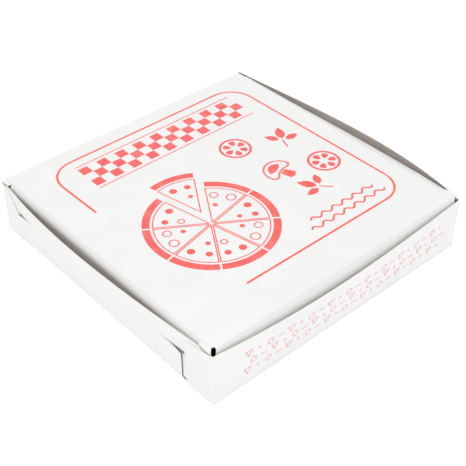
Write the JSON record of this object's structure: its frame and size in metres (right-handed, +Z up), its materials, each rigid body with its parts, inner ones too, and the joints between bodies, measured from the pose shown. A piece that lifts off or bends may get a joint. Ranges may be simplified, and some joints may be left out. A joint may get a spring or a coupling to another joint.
{
  "type": "pizza box",
  "caption": "Shallow square carton folded from one sheet of paperboard, with locked corner ears and a hinged lid whose rolled edges end in tuck flaps.",
  "frame": {"origin": "on the floor, under the middle of the box, on the outside of its bottom", "axes": "+Z up through the lid, -Y out of the front wall where the lid tucks in, +Y out of the hinge wall, +X to the right seen from the front"},
  "size_m": [0.2181, 0.2086, 0.0381],
  "materials": {
    "tray_board": "white clay coat outside, bare kraft inside",
    "lid_board": "white clay coat outside, bare kraft inside"
  },
  "bodies": {
    "tray": {"tray": "tray_board"},
    "lid": {"lid": "lid_board"}
  },
  "joints": [
    {"name": "lid_hinge", "type": "hinge", "parent": "tray", "child": "lid", "pos_m": [0, 0.10135, 0.03785], "axis": [-1, 0, 0], "range_deg": [0, 180]}
  ]
}
